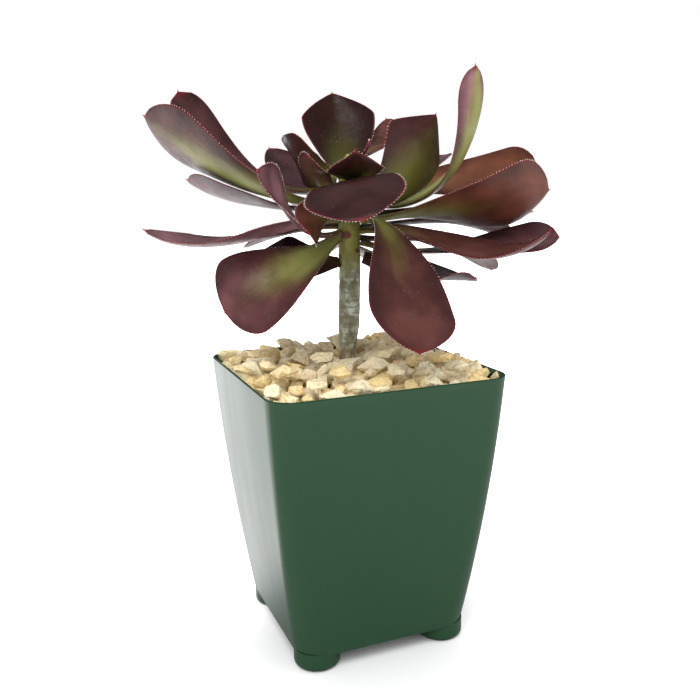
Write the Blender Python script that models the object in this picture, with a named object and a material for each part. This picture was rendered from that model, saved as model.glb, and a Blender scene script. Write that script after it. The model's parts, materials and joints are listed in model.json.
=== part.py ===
"""Potted aeonium: one young plant in a square plastic nursery pot. Metres, +Z up.

The origin is the centre of the pot's footprint, on the surface it stands on. The pot's four
sides face -X, +X, -Y and +Y.
"""

import math
from collections import namedtuple

import bmesh
import bpy
import numpy as np
from mathutils import Vector

MM = 0.001
GAP = 0.3 * MM  # clearance between pieces that touch on the real plant

# Pot
POT_HEIGHT = 118.6 * MM
RIM_WIDTH = 102 * MM
BASE_WIDTH = 77.4 * MM
SIDE_BULGE = 1.4 * MM  # how far the middle of each side stands out of a straight taper
RIM_CORNER = 10.7 * MM
BASE_CORNER = 12 * MM
WALL = 1.2 * MM
FLOOR = 1.6 * MM
FOOT_HEIGHT = 7.3 * MM
FOOT_RADIUS = 9.7 * MM
FOOT_ROUNDING = 2.6 * MM
FOOT_OFFSET = 28.8 * MM
DRAIN_RADIUS = 3.5 * MM
DRAIN_OFFSET = 15 * MM
CORNER_STEPS = 5

# Filling
MIX_TOP = 98 * MM
BED_EDGE = 114.5 * MM  # top of the chip layer along the pot's wall
BED_CROWN = 121 * MM  # top of the chip layer near the stem
BED_RINGS = 7

# Stem
STEM_RADIUS = 4.55 * MM
STEM_NECK = 3.4 * MM  # radius where the stem enters the chips
STEM_BURIED = 84 * MM
STEM_TOP = 203 * MM  # above it is only the growing tip, a small bud
BUD_TOP = 207.5 * MM
STEM_SIDES = 12

# Chips that lie loose on the layer: distance and heading from the stem, size, seed
Chip = namedtuple("Chip", "distance heading length breadth thickness seed")
CHIPS = {
    "chip_front_left": Chip(41, -152, 15, 10, 6, 3),
    "chip_front": Chip(36, -118, 15, 11, 6, 5),
    "chip_front_right": Chip(37, -84, 13, 10, 6, 8),
    "chip_front_corner": Chip(50, -126, 12, 9, 5.5, 13),
    "chip_right": Chip(39, -34, 16, 11, 6, 21),
    "chip_right_corner": Chip(49, -50, 13, 10, 6, 34),
    "chip_right_back": Chip(36, 4, 14, 12, 7, 55),
    "chip_back_right": Chip(38, 38, 15, 10, 6, 89),
    "chip_back": Chip(37, 76, 14, 11, 7, 144),
    "chip_back_left": Chip(40, 116, 15, 10, 6, 233),
    "chip_left_back": Chip(41, 152, 13, 11, 6, 377),
    "chip_left": Chip(38, 186, 14, 10, 6, 610),
    "chip_by_stem_right": Chip(15, -40, 15, 12, 7, 17),
    "chip_by_stem_left": Chip(16, -158, 13, 10, 6, 29),
    "chip_by_stem_back": Chip(16, 78, 14, 11, 7, 47),
}

# Leaves. Lengths are millimetres and angles degrees. Each blade starts on the stem at `height`,
# points along `heading` (from +X towards +Y) and climbs at `rise`. Along its length it bends up
# by `curl_in` (mostly near the stem) and `curl_out` (mostly near the tip), swings sideways by
# `swing`, and turns about its own midrib from `roll` by `twist`. Its cross-section is an arc whose
# half-angle goes from `cup_in` to `cup_out`. It is widest at the share `widest` of its length, and
# `point` runs from 0, a round end, to 1, a pointed one.
Leaf = namedtuple(
    "Leaf",
    "height heading length width rise curl_in curl_out swing roll twist cup_in cup_out widest point",
    defaults=(0, 0, 0, 0, 0, 0, 15, 15, 0.74, 0.4),
)
LEAVES = {
    # the crown, nearest the tip of the stem
    "leaf_heart_tip": Leaf(
        201, -90, 22, 12, rise=25, curl_out=10, roll=30, twist=30, widest=0.65, point=1,
    ),
    "leaf_heart_left": Leaf(201, 135, 26, 14, rise=15, curl_in=10, curl_out=35, swing=-25, roll=10),
    "leaf_heart_right": Leaf(
        193, -45, 32, 14, curl_in=50, curl_out=25, swing=25, roll=-30, cup_in=25, cup_out=35,
    ),
    "leaf_heart_back": Leaf(196, 15, 26, 14, rise=10, curl_out=10, cup_in=25),
    "leaf_inner_front": Leaf(
        197, -100, 28, 22, rise=8, curl_out=52, swing=-15, cup_in=-5, cup_out=25, widest=0.55,
        point=1,
    ),
    "leaf_inner_left": Leaf(
        192, -170, 26, 14, rise=30, curl_in=-20, curl_out=35, swing=40, roll=50, twist=-75,
    ),
    "leaf_back_inner": Leaf(
        205, 19, 44, 14, rise=20, curl_in=-10, curl_out=50, swing=45, cup_in=-5, cup_out=20,
    ),
    "leaf_upper_left": Leaf(
        198, 162, 34, 28, rise=11, curl_in=55, curl_out=5, roll=65, twist=-50, cup_in=-15,
        widest=0.6, point=1,
    ),
    "leaf_back_upright": Leaf(
        195, 75, 51, 34, rise=35, curl_in=25, swing=5, cup_in=25, cup_out=40, widest=0.7, point=1,
    ),
    # the large leaves that rise or spread level
    "leaf_front": Leaf(
        194, -112, 64, 36, rise=10, curl_in=-12, curl_out=-42, roll=12, cup_in=2, cup_out=2,
    ),
    "leaf_upright_right": Leaf(
        186, -50, 52, 38, rise=8, curl_in=64, curl_out=10, swing=-15, roll=-35, cup_out=35,
        point=1,
    ),
    "leaf_upturned_right": Leaf(
        189, -3, 88, 30, rise=-25, curl_in=95, curl_out=35, swing=-15, roll=25, twist=-55,
        cup_out=25, widest=0.8,
    ),
    "leaf_rising_left": Leaf(
        189, 176, 88, 38, rise=-9, curl_in=48, curl_out=6, swing=-20, twist=34, widest=0.76,
    ),
    "leaf_rising_left_back": Leaf(
        194, 143, 88, 32, rise=-12, curl_in=38, curl_out=60, twist=-25, cup_in=5, cup_out=20,
        widest=0.76, point=0,
    ),
    "leaf_right_front": Leaf(
        180, -25, 84, 40, rise=9, curl_in=-9, curl_out=29, swing=18, twist=-55, cup_in=5,
        cup_out=20, widest=0.76,
    ),
    "leaf_right_upper": Leaf(
        193, 20, 86, 28, curl_in=16, curl_out=32, swing=-50, roll=24, twist=18, cup_in=1,
        cup_out=25, widest=0.86,
    ),
    "leaf_right_middle": Leaf(
        183, 3, 81, 34, curl_in=5, curl_out=-20, swing=-17, twist=-32, cup_in=1, cup_out=9,
    ),
    "leaf_back_left": Leaf(
        187, 102, 54, 28, rise=11, curl_in=8, curl_out=44, swing=19, roll=-9, twist=12, cup_out=35,
    ),
    "leaf_back_right": Leaf(
        186, 33, 78, 25, rise=4, curl_in=20, curl_out=-5, swing=-6, twist=-8, cup_in=20,
        cup_out=28,
    ),
    "leaf_back_middle": Leaf(184, 66, 62, 34, rise=-2, curl_in=8, curl_out=-3),
    "leaf_back_wide": Leaf(180, 92, 58, 34, curl_in=6, roll=9, twist=20, point=0),
    "leaf_left_middle": Leaf(
        184, 152, 66, 32, rise=5, curl_out=25, roll=-5, twist=28, cup_in=7, cup_out=18,
    ),
    "leaf_left_short": Leaf(
        186, -148, 38, 17, rise=-4, curl_in=-10, curl_out=-32, swing=-20, roll=75, twist=43,
        cup_out=22,
    ),
    # the lower leaves, which spread or hang
    "leaf_drooping_right": Leaf(
        183, -71, 78, 41, rise=-4, curl_in=-70, curl_out=30, roll=-26, twist=22, cup_in=44,
        widest=0.78, point=0.5,
    ),
    "leaf_drooping_left": Leaf(
        173, -165, 58, 36, rise=-29, curl_in=7, curl_out=-39, swing=-19, roll=-11, twist=-47,
        cup_out=25, widest=0.8,
    ),
    "leaf_left_lower": Leaf(
        181, 180, 81, 36, rise=-2, curl_in=-22, curl_out=58, swing=-15, roll=20, twist=-27,
        cup_in=30, cup_out=9,
    ),
    "leaf_left_curled": Leaf(
        176, -158, 64, 17, rise=-17, curl_in=73, curl_out=-20, swing=11, twist=-85, cup_in=24,
        cup_out=39, widest=0.8,
    ),
    "leaf_left_low_back": Leaf(
        178, 138, 44, 24, curl_in=-13, curl_out=-10, swing=10, cup_in=2, cup_out=2, widest=0.8,
    ),
    "leaf_right_twisted": Leaf(
        176, -42, 82, 34, rise=8, curl_in=-50, curl_out=94, swing=-6, roll=13, twist=-9, cup_in=26,
        cup_out=8, point=0.9,
    ),
    "leaf_right_back": Leaf(
        171, -8, 86, 32, rise=-17, curl_in=22, curl_out=6, swing=-28, roll=-11, twist=36, cup_in=1,
        cup_out=19, widest=0.86,
    ),
    "leaf_right_lower": Leaf(
        173, 14, 85, 24, rise=-7, curl_in=11, curl_out=-50, cup_in=3, cup_out=-5, point=0,
    ),
    "leaf_right_low_back": Leaf(
        177, 20, 84, 24, rise=3, curl_out=-43, swing=-40, roll=-5, twist=-9, cup_in=-5, cup_out=30,
    ),
    "leaf_low_right": Leaf(
        165, -26, 49, 34, rise=-18, curl_in=9, curl_out=23, swing=-12, roll=54, twist=-69,
        cup_in=-8, cup_out=10, point=0,
    ),
    "leaf_low_left": Leaf(
        163, 180, 37, 32, curl_in=-18, swing=-46, roll=-45, twist=17, cup_in=10, cup_out=4,
        point=0.2,
    ),
    "leaf_back_lower_right": Leaf(169, 45, 70, 35, rise=-11, curl_in=-14, curl_out=7, roll=18),
    "leaf_back_lower_left": Leaf(
        174, 108, 66, 35, rise=-15, curl_in=-14, curl_out=-6, roll=-11, twist=-8, widest=0.8,
    ),
    "leaf_back_lowest": Leaf(
        177, 68, 62, 32, rise=-7, curl_in=-3, curl_out=5, roll=-16, twist=-30, cup_in=19,
        widest=0.8,
    ),
}

LEAF_STATIONS = 12
LEAF_STRIPS = 4
LEAF_THICK_BASE = 2.7
LEAF_THICK_TIP = 1.3
LEAF_EDGE = 0.5
FLAT = 0.01  # the smallest half-angle, in radians, that a section's arc is given
BASE_SHARE = 0.17  # a blade's width where it joins the stem, as a share of its greatest width


def material(name, color, roughness):
    made = bpy.data.materials.new(name)
    made.use_nodes = True
    shader = made.node_tree.nodes["Principled BSDF"]
    shader.inputs["Base Color"].default_value = (*color, 1)
    shader.inputs["Roughness"].default_value = roughness
    shader.inputs["Metallic"].default_value = 0
    made.diffuse_color = (*color, 1)
    return made


def add_object(name, mesh_data, made_of, smooth_degrees=40):
    """An object of this bmesh, its faces turned outwards."""
    bmesh.ops.recalc_face_normals(mesh_data, faces=mesh_data.faces)
    mesh = bpy.data.meshes.new(name)
    mesh_data.to_mesh(mesh)
    mesh_data.free()
    mesh.materials.append(made_of)
    mesh.shade_smooth()
    mesh.set_sharp_from_angle(angle=math.radians(smooth_degrees))
    made = bpy.data.objects.new(name, mesh)
    bpy.context.scene.collection.objects.link(made)
    return made


def add_boolean(target, other, operation):
    modifier = target.modifiers.new(other.name, "BOOLEAN")
    modifier.object = other
    modifier.operation = operation
    modifier.solver = "EXACT"
    other.hide_render = True
    other.display_type = "WIRE"


def loft(loops):
    """A closed body through loops of equally many points, with its first and last loop filled."""
    made = bmesh.new()
    rows = [[made.verts.new(point) for point in loop] for loop in loops]
    count = len(rows[0])
    for low, high in zip(rows, rows[1:]):
        for i in range(count):
            j = (i + 1) % count
            made.faces.new((low[i], low[j], high[j], high[i]))
    made.faces.new(reversed(rows[0]))
    made.faces.new(rows[-1])
    return made


def rounded_square(half_width, corner, height):
    """Points around a square with round corners, anticlockwise from above."""
    points = []
    for quarter in range(4):
        turn = quarter * math.pi / 2
        centre = (half_width - corner) * math.sqrt(2)
        for step in range(CORNER_STEPS + 1):
            angle = turn + step / CORNER_STEPS * math.pi / 2
            points.append(
                Vector(
                    (
                        centre * math.cos(turn + math.pi / 4) + corner * math.cos(angle),
                        centre * math.sin(turn + math.pi / 4) + corner * math.sin(angle),
                        height,
                    )
                )
            )
    return points


def pot_section(height, inset=0):
    """The pot's outline at this height, moved in by inset."""
    share = (height - FOOT_HEIGHT) / (POT_HEIGHT - FOOT_HEIGHT)
    half = BASE_WIDTH / 2 + (RIM_WIDTH - BASE_WIDTH) / 2 * share
    half += SIDE_BULGE * 4 * share * (1 - share)
    corner = BASE_CORNER + (RIM_CORNER - BASE_CORNER) * share
    return rounded_square(half - inset, corner - inset, height)


def heights(low, high, count):
    return [low + (high - low) * i / count for i in range(count + 1)]


def make_pot(plastic):
    outer = [pot_section(z) for z in heights(FOOT_HEIGHT, POT_HEIGHT, 9)]
    inner = [pot_section(z, WALL) for z in heights(POT_HEIGHT, FOOT_HEIGHT + FLOOR, 7)]
    pot = add_object("pot", loft(outer + inner), plastic)
    for number in range(4):
        angle = math.radians(45 + 90 * number)
        spot = Vector((math.cos(angle), math.sin(angle), 0)) * math.sqrt(2)
        foot = add_object(f"foot_{number + 1}", foot_shape(), plastic)
        foot.location = spot * FOOT_OFFSET
        add_boolean(pot, foot, "UNION")
    for number in range(4):
        angle = math.radians(90 * number)
        hole = add_object(f"drain_{number + 1}", drain_shape(), plastic)
        hole.location = Vector((math.cos(angle), math.sin(angle), 0)) * DRAIN_OFFSET
        add_boolean(pot, hole, "DIFFERENCE")


def circle(radius, height, sides):
    turns = [2 * math.pi * i / sides for i in range(sides)]
    return [Vector((radius * math.cos(a), radius * math.sin(a), height)) for a in turns]


def foot_shape():
    """A stub with a rounded lower edge and a flat underside, reaching into the pot's floor."""
    loops = []
    for step in range(4):
        angle = step / 3 * math.pi / 2
        inset = FOOT_ROUNDING * (1 - math.sin(angle))
        loops.append(circle(FOOT_RADIUS - inset, FOOT_ROUNDING * (1 - math.cos(angle)), 20))
    loops.append(circle(FOOT_RADIUS, FOOT_HEIGHT + FLOOR / 2, 20))
    return loft(loops)


def drain_shape():
    return loft([circle(DRAIN_RADIUS, z, 14) for z in (FOOT_HEIGHT - FLOOR, FOOT_HEIGHT + 2 * FLOOR)])


def stem_centre(height):
    """The stem leans a little over its bare part and stands upright above it."""
    lean = max(0, 1 - (height - 118 * MM) / (48 * MM)) ** 2
    return Vector((0.5 * MM - 1.9 * MM * lean, 0.7 * MM * lean, height))


def stem_radius(height):
    up = min(max((height - 122 * MM) / (16 * MM), 0), 1)
    radius = STEM_NECK + (STEM_RADIUS - STEM_NECK) * up * up * (3 - 2 * up)
    crown = min(max((height - 190 * MM) / (STEM_TOP - 190 * MM), 0), 1)
    return radius * math.sqrt(1 - 0.8 * crown**2)


def stem_hole(inset, low, high):
    """A straight hole that clears the stem between two heights."""
    centre = (stem_centre(low) + stem_centre(high)) / 2
    radius = STEM_NECK + inset + (stem_centre(high) - stem_centre(low)).xy.length / 2
    loops = [circle(radius, z, STEM_SIDES) for z in (low, high)]
    return loft([[p + Vector((centre.x, centre.y, 0)) for p in loop] for loop in loops])


def make_mix(soil):
    low = FOOT_HEIGHT + FLOOR + GAP
    loops = [pot_section(z, WALL + GAP) for z in heights(low, MIX_TOP, 5)]
    mix = add_object("potting_mix", loft(loops), soil)
    socket = add_object("mix_socket", stem_hole(GAP, STEM_BURIED - GAP, MIX_TOP + 5 * MM), soil)
    add_boolean(mix, socket, "DIFFERENCE")


def bed_height(share):
    """Height of the chip layer's top, from the pot's wall (share 1) in to the stem (share 0)."""
    return BED_CROWN + (BED_EDGE - BED_CROWN) * share**2


def make_bed(chip_stone):
    low = MIX_TOP + GAP
    rim = pot_section(BED_EDGE, WALL + 3 * GAP)
    loops = [pot_section(low, WALL + 3 * GAP)]
    for ring in range(BED_RINGS):
        share = 1 - ring / BED_RINGS
        loops.append([Vector((p.x * share, p.y * share, bed_height(share))) for p in rim])
    bed = add_object("chip_layer", loft(loops), chip_stone)
    passage = add_object(
        "bed_passage", stem_hole(2 * GAP, low - 5 * MM, BED_CROWN + 5 * MM), chip_stone
    )
    add_boolean(bed, passage, "DIFFERENCE")


def chip_shape(chip):
    """An angular stone: the hull of points scattered over an ellipsoid."""
    random = np.random.default_rng(chip.seed)
    made = bmesh.new()
    for _ in range(16):
        point = Vector(random.normal(size=3)).normalized()
        point *= random.uniform(0.85, 1.0)
        size = (chip.length, chip.breadth, chip.thickness)
        made.verts.new([p * s * MM / 2 for p, s in zip(point, size)])
    hull = bmesh.ops.convex_hull(made, input=made.verts)
    bmesh.ops.delete(made, geom=hull["geom_interior"], context="VERTS")
    return made


def make_chip(name, chip, chip_stone):
    stone = add_object(name, chip_shape(chip), chip_stone, 20)
    angle = math.radians(chip.heading)
    distance = chip.distance * MM
    under = max(distance - chip.length * MM / 2, 0)  # the layer is highest on the stem's side
    lift = chip.thickness * MM / 2 + GAP
    height = bed_height(under / (RIM_WIDTH / 2) * math.sqrt(0.5)) + lift
    stone.location = (distance * math.cos(angle), distance * math.sin(angle), height)
    stone.rotation_euler.z = angle + math.radians(chip.seed * 37)


def make_stem(bark):
    levels = heights(STEM_BURIED, 130 * MM, 4) + heights(138 * MM, 190 * MM, 4)
    levels += [195 * MM, 199 * MM, STEM_TOP]
    loops = []
    for z in levels:
        centre = stem_centre(z)
        ring = circle(stem_radius(z), 0, STEM_SIDES)
        loops.append([centre + p for p in ring])
    for z, share in ((STEM_TOP + 1 * MM, 0.95), (STEM_TOP + 3 * MM, 0.6), (BUD_TOP, 0.12)):
        ring = circle(stem_radius(STEM_TOP) * share, 0, STEM_SIDES)
        loops.append([stem_centre(z) + p for p in ring])
    add_object("stem", loft(loops), bark)


def blade_frames(leaf):
    """Points along the midrib, each with the blade's sideways and upward directions."""
    heading = math.radians(leaf.heading)
    rise = math.radians(leaf.rise)
    forward = Vector(
        (math.cos(rise) * math.cos(heading), math.cos(rise) * math.sin(heading), math.sin(rise))
    )
    level = Vector((-math.sin(heading), math.cos(heading), 0))
    upright = forward.cross(level)
    roll = math.radians(leaf.roll)
    side = math.cos(roll) * level + math.sin(roll) * upright
    start = leaf.height * MM
    outwards = Vector((math.cos(heading), math.sin(heading), 0))
    # a tilted or rolled blade needs room for its own thickness and width where it meets the stem
    depth = LEAF_THICK_BASE / 2 * abs(math.cos(roll))
    depth += BASE_SHARE * leaf.width / 2 * abs(math.sin(roll))
    root = stem_radius(start) + GAP + depth * abs(math.sin(rise)) * MM
    point = stem_centre(start) + outwards * root
    step = 1 / (LEAF_STATIONS - 1)
    frames = [(point, side, forward.cross(side))]
    for i in range(LEAF_STATIONS - 1):
        near = math.cos(math.pi * (i + 0.5) * step)
        pitch = math.radians(leaf.curl_in * (1 + near) + leaf.curl_out * (1 - near)) * step
        yaw = math.radians(leaf.swing) * step
        turn = math.radians(leaf.twist) * step
        up = forward.cross(side)
        onwards = (forward + pitch * up + yaw * side).normalized()
        side = side - yaw * forward + turn * up
        side = (side - onwards * side.dot(onwards)).normalized()
        point = point + (forward + onwards) / 2 * leaf.length * MM * step
        forward = onwards
        frames.append((point, side, forward.cross(side)))
    return frames


def half_width(leaf, share):
    if share < leaf.widest:
        swell = math.sin(math.pi / 2 * share / leaf.widest) ** 1.6
        shape = BASE_SHARE + (1 - BASE_SHARE) * swell
    else:
        end = (share - leaf.widest) / (1 - leaf.widest)
        shape = max(1 - end ** (2.4 - 1.1 * leaf.point), 0) ** (0.55 + 0.4 * leaf.point)
    return leaf.width / 2 * shape


def blade_section(leaf, share, frame):
    """The outline of the blade across one station: upper side, then lower side back again."""
    point, side, up = frame
    half = max(half_width(leaf, share), 0.8)
    cup = math.radians(leaf.cup_in + (leaf.cup_out - leaf.cup_in) * share)
    if abs(cup) < FLAT:
        cup = FLAT
    thick = LEAF_THICK_BASE + (LEAF_THICK_TIP - LEAF_THICK_BASE) * share**0.7
    upper = []
    lower = []
    for strip in range(LEAF_STRIPS + 1):
        across = 2 * strip / LEAF_STRIPS - 1
        bend = cup * across
        reach = half * math.sin(bend) / cup
        lift = half * (1 - math.cos(bend)) / cup
        middle = point + (side * reach + up * lift) * MM
        outwards = (up * math.cos(bend) - side * math.sin(bend)).normalized()
        deep = (LEAF_EDGE + (thick - LEAF_EDGE) * (1 - across**2)) * MM / 2
        upper.append(middle + outwards * deep)
        lower.append(middle - outwards * deep)
    return upper + lower[::-1]


def make_leaf(name, leaf, tissue):
    loops = []
    for i, frame in enumerate(blade_frames(leaf)):
        share = i / (LEAF_STATIONS - 1)
        loops.append(blade_section(leaf, share, frame))
    add_object(name, loft(loops), tissue, 60)


def main():
    for old in list(bpy.data.objects):
        bpy.data.objects.remove(old)
    plastic = material("pot_plastic", (0.035, 0.095, 0.045), 0.32)
    soil = material("soil", (0.06, 0.04, 0.025), 0.95)
    chip_stone = material("chip_stone", (0.72, 0.56, 0.36), 0.85)
    bark = material("bark", (0.22, 0.25, 0.15), 0.65)
    tissue = material("leaf_tissue", (0.085, 0.02, 0.03), 0.42)
    make_pot(plastic)
    make_mix(soil)
    make_bed(chip_stone)
    make_stem(bark)
    for name, chip in CHIPS.items():
        make_chip(name, chip, chip_stone)
    for name, leaf in LEAVES.items():
        make_leaf(name, leaf, tissue)


main()
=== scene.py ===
import json
import math
from collections import namedtuple
import bmesh
import bpy
import numpy as np
from mathutils import Matrix, Vector

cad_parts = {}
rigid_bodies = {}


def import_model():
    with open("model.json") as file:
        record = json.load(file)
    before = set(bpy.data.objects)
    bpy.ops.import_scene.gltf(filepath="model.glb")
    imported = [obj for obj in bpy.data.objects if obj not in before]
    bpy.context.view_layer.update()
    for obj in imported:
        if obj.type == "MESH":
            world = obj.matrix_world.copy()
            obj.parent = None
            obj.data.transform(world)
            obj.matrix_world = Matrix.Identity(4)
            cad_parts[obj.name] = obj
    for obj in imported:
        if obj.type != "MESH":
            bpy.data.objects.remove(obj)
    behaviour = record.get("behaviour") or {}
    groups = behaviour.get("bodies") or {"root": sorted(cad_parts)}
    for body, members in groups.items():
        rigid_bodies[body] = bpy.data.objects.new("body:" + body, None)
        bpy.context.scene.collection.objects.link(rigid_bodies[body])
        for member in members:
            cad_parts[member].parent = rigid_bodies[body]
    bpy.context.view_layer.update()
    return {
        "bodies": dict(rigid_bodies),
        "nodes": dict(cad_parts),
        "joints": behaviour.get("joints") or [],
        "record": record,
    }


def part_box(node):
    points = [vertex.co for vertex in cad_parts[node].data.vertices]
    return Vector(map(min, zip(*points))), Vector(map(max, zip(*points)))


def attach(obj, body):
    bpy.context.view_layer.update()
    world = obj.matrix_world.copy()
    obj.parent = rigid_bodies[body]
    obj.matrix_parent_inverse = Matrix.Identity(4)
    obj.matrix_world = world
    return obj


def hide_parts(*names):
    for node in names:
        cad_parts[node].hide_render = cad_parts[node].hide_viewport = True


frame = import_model()
nodes = frame["nodes"]
scene = bpy.context.scene
mm = 0.001
print("stage: frame loaded,", len(nodes), "nodes")


# camera

cameraView = {
    "azimuth": -22.1,  # degrees round the plant, 0 looks along +Y
    "elevation": 11.6,
    "roll": -0.95,
    "distance": 0.356,
    "targetHeight": 0.1248,
    "lens": 42.3,
}


def makeCamera(view):
    az, el, roll = (math.radians(view[k]) for k in ("azimuth", "elevation", "roll"))
    back = Vector((math.sin(az) * math.cos(el), -math.cos(az) * math.cos(el), math.sin(el)))
    right = Vector((math.cos(az), math.sin(az), 0))
    up = back.cross(right)
    turnedRight = math.cos(roll) * right + math.sin(roll) * up
    turnedUp = back.cross(turnedRight)
    data = bpy.data.cameras.new("camera")
    data.lens = view["lens"]
    data.sensor_width = 36
    data.clip_start = 0.01
    camera = bpy.data.objects.new("camera", data)
    scene.collection.objects.link(camera)
    camera.matrix_world = Matrix((turnedRight, turnedUp, back)).transposed().to_4x4()
    camera.location = Vector((0, 0, view["targetHeight"])) + back * view["distance"]
    scene.camera = camera


makeCamera(cameraView)
print("stage: camera placed")


# light and floor

studio = {
    "worldLight": 1.06,
    "worldShine": 0.13,  # what glossy surfaces see of the surroundings
    "backdrop": 1.0,
    "floorTone": (0.92, 0.92, 0.925),
    "floorShine": 0.30,  # the floor as glossy surfaces see it
    "floorGlow": 1.2,  # painted light: the floor glows behind the pot, as if overexposed
    # painted light: the floor glows more with distance from the pot
    "farGlow": 0.4,
    "floorSize": 6.0,
}
lamps = {
    "keySoftbox": {"at": (-0.55, -0.75, 0.95), "size": 0.6, "power": 5.0, "shine": False},
    "fillSoftbox": {"at": (0.95, -0.5, 0.6), "size": 0.6, "power": 2.0, "shine": False},
    "topSoftbox": {"at": (0.1, 0.35, 1.1), "size": 0.7, "power": 8.0, "shine": False},
    "glintSoftbox": {"at": (-0.35, -0.7, 1.2), "size": 0.45, "power": 3.2, "shine": True},
}


def makeStudio():
    scene.view_settings.view_transform = "Standard"
    world = bpy.data.worlds.new("whiteStudio")
    scene.world = world
    world.use_nodes = True
    tree = world.node_tree
    tree.nodes.clear()
    output = tree.nodes.new("ShaderNodeOutputWorld")
    lightPath = tree.nodes.new("ShaderNodeLightPath")
    result = None
    for key, ray in (
        ("worldLight", None), ("worldShine", "Is Glossy Ray"), ("backdrop", "Is Camera Ray"),
    ):
        light = tree.nodes.new("ShaderNodeBackground")
        light.inputs["Color"].default_value = (1, 1, 1, 1)
        light.inputs["Strength"].default_value = studio[key]
        if ray is None:
            result = light.outputs[0]
            continue
        mix = tree.nodes.new("ShaderNodeMixShader")
        tree.links.new(lightPath.outputs[ray], mix.inputs["Fac"])
        tree.links.new(result, mix.inputs[1])
        tree.links.new(light.outputs[0], mix.inputs[2])
        result = mix.outputs[0]
    tree.links.new(result, output.inputs["Surface"])
    for name, lamp in lamps.items():
        data = bpy.data.lights.new(name, "AREA")
        data.energy = lamp["power"]
        data.size = lamp["size"]
        light = bpy.data.objects.new(name, data)
        light.location = lamp["at"]
        light.visible_glossy = lamp["shine"]
        aim = Vector((0, 0, 0.13)) - light.location
        light.rotation_euler = aim.to_track_quat("-Z", "Y").to_euler()
        scene.collection.objects.link(light)


def makeFloor():
    half = studio["floorSize"] / 2
    mesh = bpy.data.meshes.new("studioFloor")
    mesh.from_pydata(
        [(-half, -half, 0), (half, -half, 0), (half, half, 0), (-half, half, 0)], [], [(0, 1, 2, 3)],
    )
    floor = bpy.data.objects.new("studioFloor", mesh)
    scene.collection.objects.link(floor)
    paper = bpy.data.materials.new("floorPaper")
    paper.use_nodes = True
    shader = paper.node_tree.nodes["Principled BSDF"]
    shader.inputs["Roughness"].default_value = 0.9
    shader.inputs["Specular IOR Level"].default_value = 0.0
    # painted light: the paper glows behind the plant, as if burned out by the light, and glows more
    # with distance from the pot
    tree = paper.node_tree
    # painted reflection: glossy surfaces see the floor dimmed by floorShine
    shiny = tree.nodes.new("ShaderNodeLightPath").outputs["Is Glossy Ray"]
    dim = tuple(studio["floorShine"] * c for c in studio["floorTone"])
    join(tree, mixColour(tree, shiny, studio["floorTone"], dim), shader.inputs["Base Color"])
    split = tree.nodes.new("ShaderNodeSeparateXYZ")
    join(tree, tree.nodes.new("ShaderNodeTexCoord").outputs["Object"], split.inputs[0])
    behind = doMath(tree, "MULTIPLY", split.outputs["Y"], 0.93)
    behind = doMath(tree, "MULTIPLY_ADD", split.outputs["X"], -0.37, behind)
    aside = doMath(tree, "MULTIPLY", split.outputs["Y"], 0.37)
    aside = doMath(tree, "MULTIPLY_ADD", split.outputs["X"], 0.93, aside)
    wedge = mapRange(tree, doMath(tree, "ADD", aside, behind), -0.05, 0.05)
    near = mapRange(tree, behind, -0.03, 0.11, 0.0, studio["floorGlow"])
    near = doMath(tree, "MULTIPLY", near, wedge)
    away = tree.nodes.new("ShaderNodeVectorMath")
    away.operation = "LENGTH"
    join(tree, tree.nodes["Texture Coordinate"].outputs["Object"], away.inputs[0])
    far = mapRange(tree, away.outputs["Value"], 0.1, 0.7, 0.0, studio["farGlow"])
    shader.inputs["Emission Color"].default_value = (1, 1, 1, 1)
    join(tree, doMath(tree, "ADD", near, far), shader.inputs["Emission Strength"])
    mesh.materials.append(paper)


# helpers for shader trees

def newMaterial(name):
    made = bpy.data.materials.new(name)
    made.use_nodes = True
    shader = made.node_tree.nodes["Principled BSDF"]
    return made, made.node_tree, shader


def addNode(tree, kind, **values):
    # a key that names a node property is set on the node, any other is one of its inputs
    node = tree.nodes.new(kind)
    for key, value in values.items():
        if hasattr(node, key):
            setattr(node, key, value)
        else:
            node.inputs[key].default_value = value
    return node


def join(tree, source, target):
    tree.links.new(source, target)


def doMath(tree, operation, first, second=None, third=None, clamp=False):
    node = tree.nodes.new("ShaderNodeMath")
    node.operation = operation
    node.use_clamp = clamp
    for i, value in enumerate((first, second, third)):
        if value is None:
            continue
        if isinstance(value, (int, float)):
            node.inputs[i].default_value = value
        else:
            join(tree, value, node.inputs[i])
    return node.outputs[0]


def mixColour(tree, share, low, high, blend="MIX"):
    node = tree.nodes.new("ShaderNodeMix")
    node.data_type = "RGBA"
    node.blend_type = blend
    for socket, value in ((node.inputs[0], share), (node.inputs[6], low), (node.inputs[7], high)):
        if isinstance(value, (int, float)):
            socket.default_value = value
        elif isinstance(value, tuple):
            socket.default_value = (*value, 1)
        else:
            join(tree, value, socket)
    return node.outputs[2]


def mapRange(tree, value, low, high, toLow=0.0, toHigh=1.0, smooth=True):
    node = tree.nodes.new("ShaderNodeMapRange")
    node.interpolation_type = "SMOOTHSTEP" if smooth else "LINEAR"
    join(tree, value, node.inputs["Value"])
    for key, number in (("From Min", low), ("From Max", high), ("To Min", toLow), ("To Max", toHigh)):
        if isinstance(number, (int, float)):
            node.inputs[key].default_value = number
        else:
            join(tree, number, node.inputs[key])
    return node.outputs["Result"]


def attribute(tree, name):
    node = tree.nodes.new("ShaderNodeAttribute")
    node.attribute_name = name
    return node.outputs["Fac"]


def noise(tree, vector, scale, detail=3.0, roughness=0.55, distortion=0.0):
    node = addNode(
        tree,
        "ShaderNodeTexNoise",
        Scale=scale,
        Detail=detail,
        Roughness=roughness,
        Distortion=distortion,
    )
    if vector is not None:
        join(tree, vector, node.inputs["Vector"])
    return node.outputs["Fac"]


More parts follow.
